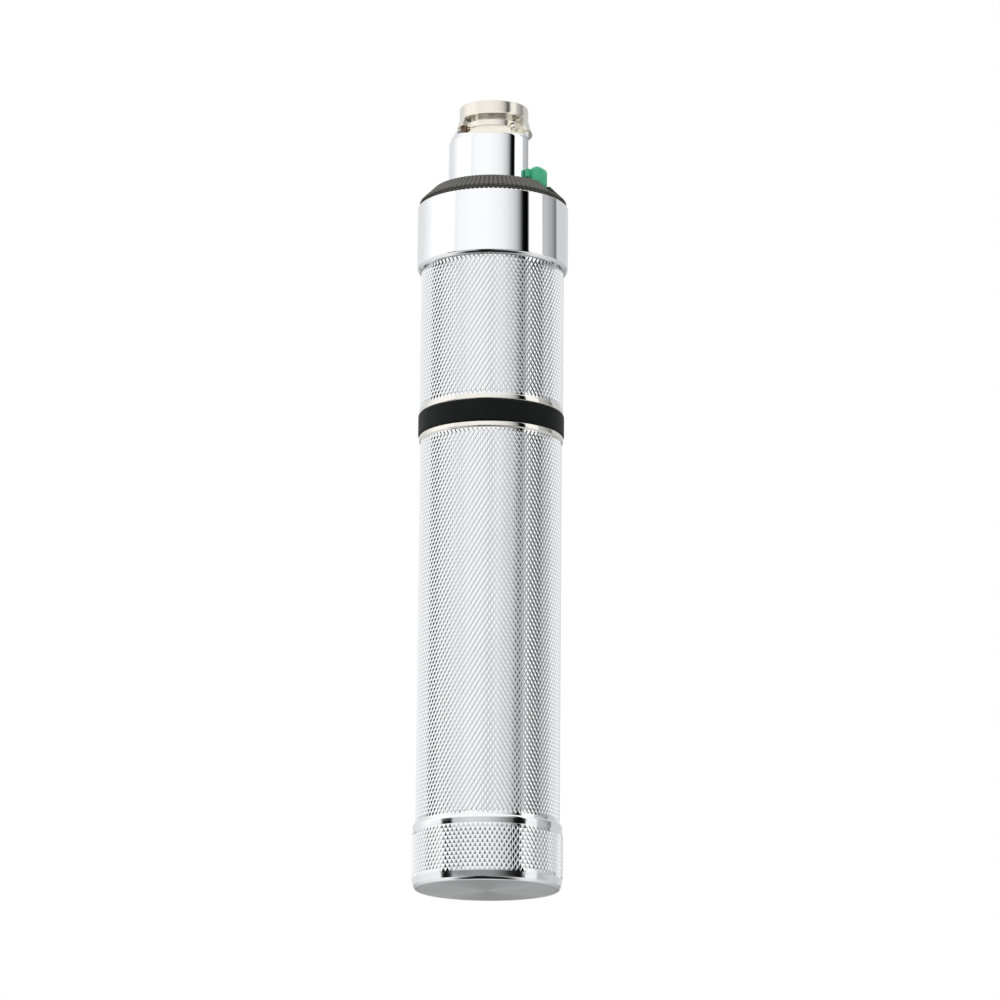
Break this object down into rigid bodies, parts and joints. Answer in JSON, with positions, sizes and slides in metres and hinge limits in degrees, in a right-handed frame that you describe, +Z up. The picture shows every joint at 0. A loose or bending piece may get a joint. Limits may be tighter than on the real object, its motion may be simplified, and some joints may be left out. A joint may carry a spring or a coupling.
{
  "type": "otoscope battery handle",
  "caption": "Knurled cylindrical battery handle for an otoscope, with a dimmer ring, lock button, bayonet head fitting and screw-off end cap.",
  "frame": {"origin": "centre of the flat underside of the end cap, on the handle's axis", "axes": "+Z up the handle's axis from the end cap to the head fitting; -Y is the side that faces the camera; the neck's milled flat faces +X"},
  "size_m": [0.0308, 0.0308, 0.1627],
  "materials": {
    "chrome": "mirror-polished chrome plate",
    "knurled_chrome": "chrome plate over a fine diamond knurl",
    "coarse_knurled_chrome": "chrome plate with a coarse pyramid knurl and polished rims",
    "satin_aluminium": "satin turned face",
    "nickel": "polished warm nickel plate",
    "satin_nickel": "satin warm nickel plate",
    "black_rubber": "matte moulded rubber",
    "dark_plastic": "matte ribbed moulding",
    "green_plastic": "semi-gloss moulded plastic",
    "brass": "turned brass",
    "copper_wire": "resistance wire",
    "spring_steel": "drawn spring wire",
    "ivory_plastic": "moulded insulator",
    "phenolic": "moulded insulator",
    "seal_rubber": "soft seal",
    "washer_fibre": "pressed fibre",
    "cell_can": null,
    "cell_wrap": "printed-free shrink wrap"
  },
  "bodies": {
    "handle": {"cap_seal": "seal_rubber", "cap_thread_bush": "nickel", "lower_sleeve": "knurled_chrome", "lower_cell": "cell_can", "lower_cell_wrap": "cell_wrap", "upper_cell": "cell_can", "upper_cell_wrap": "cell_wrap", "return_strip": "brass", "joining_sleeve": "phenolic", "lower_contact_ring": "nickel", "insulating_band": "black_rubber", "upper_contact_ring": "nickel", "upper_sleeve": "knurled_chrome", "contact_block": "ivory_plastic", "battery_contact": "brass", "collar": "chrome", "neck_sleeve": "chrome", "rheostat_former": "phenolic", "rheostat_winding": "copper_wire", "former_screws": "spring_steel", "friction_washer": "washer_fibre", "contact_insulator": "ivory_plastic", "feed_terminal": "brass", "contact_pin_spring": "spring_steel", "bayonet_fitting": "satin_nickel", "detent_spring": "spring_steel"},
    "cap": {"cap_shell": "coarse_knurled_chrome", "base_disc": "satin_aluminium"},
    "spring_carrier": {"spring_seat": "brass", "cap_spring": "spring_steel"},
    "dimmer_ring": {"rheostat_ring": "dark_plastic", "wiper": "brass", "lock_button_spring": "spring_steel"},
    "button": {"lock_button": "green_plastic"},
    "head_contact": {"contact_pin": "brass"},
    "detent": {"detent_ball": "satin_nickel"}
  },
  "joints": [
    {"name": "ring_turn", "type": "hinge", "parent": "handle", "child": "dimmer_ring", "pos_m": [0, 0, 0.1433], "axis": [0, 0, 1], "range_deg": [0, 110]},
    {"name": "button_press", "type": "slide", "parent": "dimmer_ring", "child": "button", "axis": [0, 0, -1], "range_m": [0, 0.001], "stiffness_N_per_m": 700, "springref_m": -0.0012, "deforming": ["lock_button_spring"]},
    {"name": "contact_press", "type": "slide", "parent": "handle", "child": "head_contact", "axis": [0, 0, -1], "range_m": [0, 0.0015], "stiffness_N_per_m": 500, "springref_m": -0.002, "deforming": ["contact_pin_spring"]},
    {"name": "detent_press", "type": "slide", "parent": "handle", "child": "detent", "axis": [-0.6293, 0.7771, 0], "range_m": [0, 0.0005], "stiffness_N_per_m": 1500, "springref_m": -0.0005, "deforming": ["detent_spring"]},
    {"name": "cap_travel", "type": "slide", "parent": "handle", "child": "spring_carrier", "axis": [0, 0, -1], "range_m": [0, 0.009]},
    {"name": "cap_turn", "type": "hinge", "parent": "spring_carrier", "child": "cap", "pos_m": [0, 0, 0.0065], "axis": [0, 0, -1], "range_deg": [0, 720]}
  ],
  "couplings": [
    {"joint": "cap_turn", "follows": "cap_travel", "rad_per_m": 1396.3}
  ]
}
